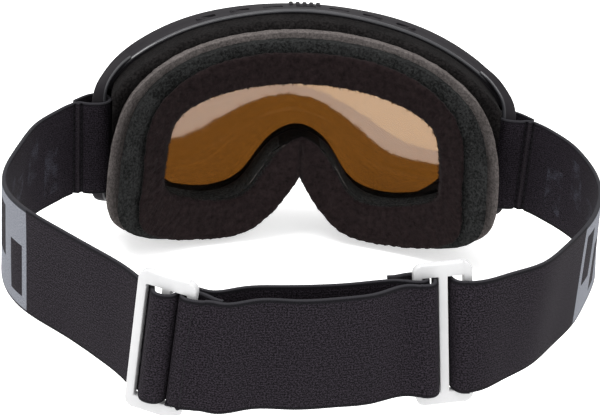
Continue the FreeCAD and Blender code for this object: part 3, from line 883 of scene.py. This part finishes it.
def paint_uv(obj, uv):
    layer = obj.data.uv_layers.new(name="strap")
    where = np.array([uv[loop.vertex_index] for loop in obj.data.loops], np.float32)
    layer.data.foreach_set("uv", where.ravel())


def fold_round(side):
    """Plan points of webbing looped loosely round a frame bar, from its free end to the start of the run."""
    points = [(93.4, -0.3), (91.8, -2.8), (90.0, -5.4), (87.6, -7.9), (84.6, -9.1), (81.6, -8.3),
              (79.8, -5.8), (79.4, -2.6), (80.6, 0.3), (83.2, 1.9), (86.3, 2.3), (89.0, 2.0),
              (91.2, 1.35), LOOP_END]
    return [(x * side, y) for x, y in points]


def sewn_fold(way):
    """Slider coordinates of a strap end folded round an end bar: from the layer to the free end."""
    bar = SLIDER_HALF - SLIDER_END_BAR / 2
    points = [(bar + 10.5, 0.85), (bar + 7.5, 1.0), (bar + 4.5, 2.0), (bar + 1.0, OFF),
              (bar - 1.2, OFF - 0.1), (bar - 2.9, 1.6), (bar - 3.25, 0), (bar - 2.9, -1.6),
              (bar - 1.2, -OFF + 0.1), (bar + 1.0, -OFF), (bar + 4.5, -2.0), (bar + 7.5, -1.0),
              (bar + 9.6, -0.85)]
    return [(x * way, n) for x, n in points]


def strap_paths():
    """Full plan path of each strap, from the fold on its frame bar to its sewn end on the far slider."""
    weave_left = [(12.4, -OFF - 2.2), (9.2, -OFF - 0.2), (6.7, -OFF + 0.5), (5.0, 0.0), (3.4, OFF - 0.1),
                  (0.6, OFF + 0.7), (-2.2, OFF - 0.4), (-3.1, 0.0), (-3.7, -OFF + 0.1),
                  (-5.6, -DEEP), (-8.0, -DEEP - 0.4), (-12.0, -DEEP - 0.2)]
    left = fold_round(1) + LEFT_RUN + local_to_plan(weave_left, LEFT_SEAT)
    left += [(30.0, 152.8), (17.0, 151.2), (4.0, 149.6), (-8.0, 147.4)]
    left += local_to_plan(sewn_fold(1), RIGHT_SEAT)
    weave_right = [(-12.4, OFF - 0.9), (-8.4, OFF + 0.1), (-4.9, OFF - 0.1), (-3.0, 0.0), (-2.2, -OFF + 0.2),
                   (0.0, -OFF - 0.6), (2.1, -OFF + 0.3), (2.7, 0.0), (2.9, OFF + 0.1),
                   (4.6, DEEP + 0.2), (7.5, DEEP + 0.6), (12.0, DEEP - 0.2)]
    right = fold_round(-1) + RIGHT_RUN + local_to_plan(weave_right, RIGHT_SEAT)
    right += [(-14.0, 154.2), (-3.0, 157.4), (12.0, 159.8), (25.0, 160.2)]
    right += local_to_plan(sewn_fold(-1), LEFT_SEAT)
    return Path(left, 1), Path(right, -1)


def build_straps(thread):
    left, right = strap_paths()
    build_strap("left", "right", left, (LEFT_SEAT, RIGHT_SEAT), "left_strap_inner_layer", thread)
    build_strap("right", "left", right, (RIGHT_SEAT, LEFT_SEAT), "right_strap_outer_layer", thread)


def build_strap(side, other, path, seats, layer_node, thread):
    """One strap, cut into pieces that ride on the bodies it crosses, and pieces left unattached between two
    of them.
    """
    cut = strap_cuts(path, seats[0], 1 if side == "left" else -1)
    knit = knit_material(side + "_knit", cut)
    bend = side_bend(side, cut, *seats)
    body, far = side + "_slider_body", other + "_slider_body"

    def piece(label, start, end, node, spacing=1.2):
        obj = webbing(side + "_strap_" + label, path, cut[start], cut[end], bend, spacing)
        return dress(obj, knit, "strap_knit", None, node)

    where = {key: path_point(path, u) for key, u in cut.items()}
    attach(piece("bar_fold", "start", "seam", side + "_strap_frame_loop", 0.35), "goggles")
    hip = piece("hip", "seam", "tilt", side + "_strap_side", 0.8)
    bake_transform(hip)
    temple = piece("temple", "tilt", "rear", side + "_strap_side")
    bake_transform(temple)
    nape = piece("nape", "rear", "weave", side + "_strap_rear")
    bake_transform(nape)
    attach(piece("crossing", "weave", "layer", side + "_strap_weave", 0.4), body)
    layer = piece("overlap", "layer", "fold", layer_node, 1.0)
    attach(layer, far)
    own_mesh(layer)
    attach(piece("end_fold", "fold", "end", side + "_strap_sewn_end", 0.35), far)
    stitches(path, cut, side, bend, thread, far)


def path_point(path, u):
    x, y = path.at(np.array([u]))[0]
    return Vector((x, y, 0)) * MM + ZERO


def strap_cuts(path, seat, way):
    """Arc lengths where the strap is cut into pieces, and where its woven band starts and ends."""
    cut = {"start": 0.0, "end": path.length}
    cut["seam"] = path.nearest((LOOP_END[0] * way, LOOP_END[1]))
    cut["tilt"] = cut["seam"] + 12.0
    cut["rear"] = path.nearest((103.8, 96.5) if way > 0 else (-96.0, 92.5))
    ends = local_to_plan([(12.0 * way, -OFF * way), (-12.0 * way, -DEEP * way)], seat)
    cut["weave"] = path.nearest(ends[0])
    cut["layer"] = path.nearest(ends[1])
    cut["fold"] = path.length - 24.5
    cut["band_from"] = cut["seam"] + 8.0
    cut["band_to"] = cut["rear"] + (7.0 if way > 0 else 9.0)
    return cut


def near(u, centre, reach):
    """1 at the centre, easing to 0 a reach away."""
    t = min(1.0, abs(u - centre) / reach)
    return 1 - t * t * (3 - 2 * t)


def seam_pinch(u):
    """Inner face of the webbing by a seam: a low ridge between two rows of stitching."""
    row = 0.8 * sum(near(u, place, 1.0) for place in SEAM_ROWS)
    return row - 0.8 * near(u, -2.05, 1.7)


def lean_way(seat):
    """Shift in plan, for each millimetre of height, that a slider's lean and pitch give."""
    turn, lean, pitch = (math.radians(v) for v in seat[1:])
    aside, back = math.tan(lean), -math.tan(pitch)
    return aside * math.cos(turn) - back * math.sin(turn), aside * math.sin(turn) + back * math.cos(turn)


def side_bend(side, cut, near_seat, far_seat):
    """How the webbing lies: leaning with each slider that it crosses, and flared at the side bend.

    The lower edge stands out at the side of the loop, and both sliders' lean and pitch carry over to the
    webbing next to them.
    """
    widest, flare = cut["seam"] + 46.0, -1.9 if side == "left" else -2.6
    first, last = (cut["weave"] + cut["layer"]) / 2, cut["fold"] + END_MIDDLE

    def bend(u, z):
        here, there = near(u, first, 45.0), near(u, last, 45.0)
        if abs(u - first) < 13:
            here = 1.0
        if u > last - 18:
            there = 1.0
        slide = [here * a + there * b for a, b in zip(lean_way(near_seat), lean_way(far_seat))]
        free = (1 - here) * (1 - there) * min(1.0, max(0.0, (u - cut["seam"]) / 30))
        out = flare * near(u, widest, 52.0) * z / 20 + 0.2 * math.sin(u / 9 + z / 14) * free
        pinch = seam_pinch(u - cut["seam"]) + seam_pinch(cut["fold"] + END_SEAM - u)
        return z * slide[0], z * slide[1], out, pinch

    return bend


def stitches(path, cut, side, bend, material, far):
    """Thread over the seam at the frame bar and over the sewn end at the far slider."""
    rows = {"bar": ([cut["seam"] + place for place in SEAM_ROWS], -1, side + "_loop_stitching", "goggles"),
            "end": ([cut["fold"] + END_ROW], 1, side + "_end_stitching", far)}
    for label, (places, face, node, body) in rows.items():
        points, faces = [], []
        for u in places:
            for k in range(STITCHES):
                add_stitch(points, faces, path, bend, u, STITCH_LOW + k * STITCH_PITCH, face)
        obj = solid(side + "_thread_" + label, points, faces, 80)
        dress(obj, material, "thread", body, node)


def add_stitch(points, faces, path, bend, u, z, face, length=2.1, radius=0.26):
    """One short arched stitch on the outer (1) or inner (-1) face, its ends diving into the webbing."""
    sides, steps = 6, 6
    base = len(points)
    for i in range(steps + 1):
        t = i / steps
        lift = STRAP_THICK / 2 + 0.32 * math.sin(math.pi * t) - 0.12
        aside, back, out, pinch = bend(u, z + length * t)
        for k in range(sides):
            a = math.tau * k / sides
            height = face * (lift + radius * math.cos(a)) + out + (pinch if face < 0 else 0)
            here = path.beside(np.array([u + radius * math.sin(a)]), height)[0]
            points.append((here[0] + aside, here[1] + back, z + length * t))
    for i in range(steps):
        for k in range(sides):
            a, b = base + i * sides + k, base + i * sides + (k + 1) % sides
            faces.append((a, b, b + sides, a + sides))
    faces.append(tuple(base + k for k in range(sides))[::-1])
    faces.append(tuple(base + steps * sides + k for k in range(sides)))


# ---------------------------------------------------------------- sliders

def slider_plate():
    """Plate of the slider, square-edged, with its two windows: a bmesh in its own axes."""
    half, tall = SLIDER_HALF, SLIDER_WINDOW + SLIDER_RAIL
    xs = [-half, -half + SLIDER_END_BAR, -SLIDER_MID_HALF, SLIDER_MID_HALF, half - SLIDER_END_BAR, half]
    zs = [-tall, -SLIDER_WINDOW, SLIDER_WINDOW, tall]
    windows = {(1, 1), (3, 1)}
    bm = bmesh.new()
    grid = {(i, j, k): bm.verts.new((x, y, z)) for i, x in enumerate(xs) for j, z in enumerate(zs)
            for k, y in enumerate((-SLIDER_THICK / 2, SLIDER_THICK / 2))}
    cells = [(i, j) for i in range(5) for j in range(3) if (i, j) not in windows]
    for i, j in cells:
        for k in (0, 1):
            bm.faces.new([grid[i, j, k], grid[i + 1, j, k], grid[i + 1, j + 1, k], grid[i, j + 1, k]])
        for (di, dj), (a, b) in (((-1, 0), ((0, 0), (0, 1))), ((1, 0), ((1, 0), (1, 1))),
                                 ((0, -1), ((0, 0), (1, 0))), ((0, 1), ((0, 1), (1, 1)))):
            if (i + di, j + dj) not in cells:
                ends = [(i + a[0], j + a[1]), (i + b[0], j + b[1])]
                bm.faces.new([grid[(*ends[0], 0)], grid[(*ends[1], 0)], grid[(*ends[1], 1)],
                              grid[(*ends[0], 1)]])
    bmesh.ops.recalc_face_normals(bm, faces=bm.faces)
    return bm


def build_slider(name, seat, material, node, body):
    """Moulded three-bar slider: a plate with two windows, its edges rounded, set on its seat."""
    bm = slider_plate()
    tall = SLIDER_WINDOW + SLIDER_RAIL
    corners = [e for e in bm.edges if all(abs(abs(v.co.x) - SLIDER_HALF) < 0.01
                                          and abs(abs(v.co.z) - tall) < 0.01 for v in e.verts)]
    bmesh.ops.bevel(bm, geom=corners, offset=3.0, segments=6, profile=0.5, affect="EDGES")
    at, turn, lean, pitch = seat
    spin = (Matrix.Rotation(math.radians(turn), 3, "Z") @ Matrix.Rotation(math.radians(pitch), 3, "X")
            @ Matrix.Rotation(math.radians(lean), 3, "Y"))
    for v in bm.verts:
        v.co = (spin @ v.co + Vector((at[0], at[1], 0))) * MM + ZERO
    mesh = bpy.data.meshes.new(name)
    bm.to_mesh(mesh)
    bm.free()
    obj = bevelled(placed(name, mesh), 0.75, 4, 40)
    tidy_mesh(obj, 50, weld=True)
    dress(obj, material, "slider_white", body, node)


# ---------------------------------------------------------------- stage

# Camera: angles in degrees, its aim and its distance in millimetres in the working frame.
CAMERA_AZIMUTH, CAMERA_ELEVATION, CAMERA_ROLL = 175.04, 25.0, -4.19
CAMERA_AIM, CAMERA_AWAY = (4.23, 51.0, 0.0), 550.7
CAMERA_LENS = 87.12


def build_camera():
    a, e, r = (math.radians(v) for v in (CAMERA_AZIMUTH, CAMERA_ELEVATION, CAMERA_ROLL))
    back = Vector((math.sin(a) * math.cos(e), -math.cos(a) * math.cos(e), math.sin(e)))
    level = (-back).cross(Vector((0, 0, 1))).normalized()
    upright = level.cross(-back)
    right = level * math.cos(r) - upright * math.sin(r)
    up = level * math.sin(r) + upright * math.cos(r)
    data = bpy.data.cameras.new("camera")
    data.lens, data.sensor_width = CAMERA_LENS, 36.0
    camera = placed("camera", data)
    turn = Matrix((right, up, back)).transposed().to_4x4()
    spot = (Vector(CAMERA_AIM) + back * CAMERA_AWAY) * MM + ZERO
    camera.matrix_world = Matrix.Translation(spot) @ turn
    bpy.context.scene.camera = camera


def area_light(name, where, aim, size, power):
    data = bpy.data.lights.new(name, "AREA")
    data.size, data.energy = size, power
    lamp = placed(name, data)
    lamp.location = where
    lamp.rotation_euler = (Vector(aim) - Vector(where)).to_track_quat("-Z", "Y").to_euler()


def build_stage():
    """Pale floor, white surroundings and two large soft lights, placed in metres."""
    reach = 4.0
    mesh = bpy.data.meshes.new("floor")
    low = CAD_BOX[0].z - 0.0005
    mesh.from_pydata([(-reach, -reach, low), (reach, -reach, low), (reach, reach, low), (-reach, reach, low)],
                     [], [(0, 1, 2, 3)])
    floor = placed("floor", mesh)
    floor.data.materials.append(floor_material())
    world = bpy.data.worlds.new("studio")
    world.use_nodes = True
    world.node_tree.nodes["Background"].inputs["Color"].default_value = (1, 1, 1, 1)
    world.node_tree.nodes["Background"].inputs["Strength"].default_value = 0.9
    bpy.context.scene.world = world
    middle = (CAD_BOX[0] + CAD_BOX[1]) / 2
    area_light("key", middle + Vector((0.35, 0.15, 1.2)), middle, 0.7, 17)
    area_light("fill", middle + Vector((-0.9, 0.6, 0.9)), middle, 1.4, 6)
    bpy.context.scene.view_settings.view_transform = "Standard"


def main():
    random.seed(7)
    satin_black = moulded_material("satin_black", (0.0135, 0.0122, 0.014), (0.021, 0.0192, 0.0215),
                                   0.5, 0.055)
    white = moulded_material("white_moulding", (0.475, 0.475, 0.48), (0.54, 0.54, 0.545), 0.42, 0.3)
    # glossier black with its colour painted lighter: a painted highlight line along the rear bead
    gloss_highlight = moulded_material("glossy_black_highlight", (0.02, 0.02, 0.023), (0.034, 0.034, 0.038), 0.34, 0.5)
    build_frame(satin_black, gloss_highlight)
    build_lenses()
    build_vent_foam()
    build_foams()
    build_fleece()
    build_straps(thread_material())
    build_slider("left_buckle", LEFT_SEAT, white, "left_slider", "left_slider_body")
    build_slider("right_buckle", RIGHT_SEAT, white, "right_slider", "right_slider_body")
    build_camera()
    build_stage()


main()
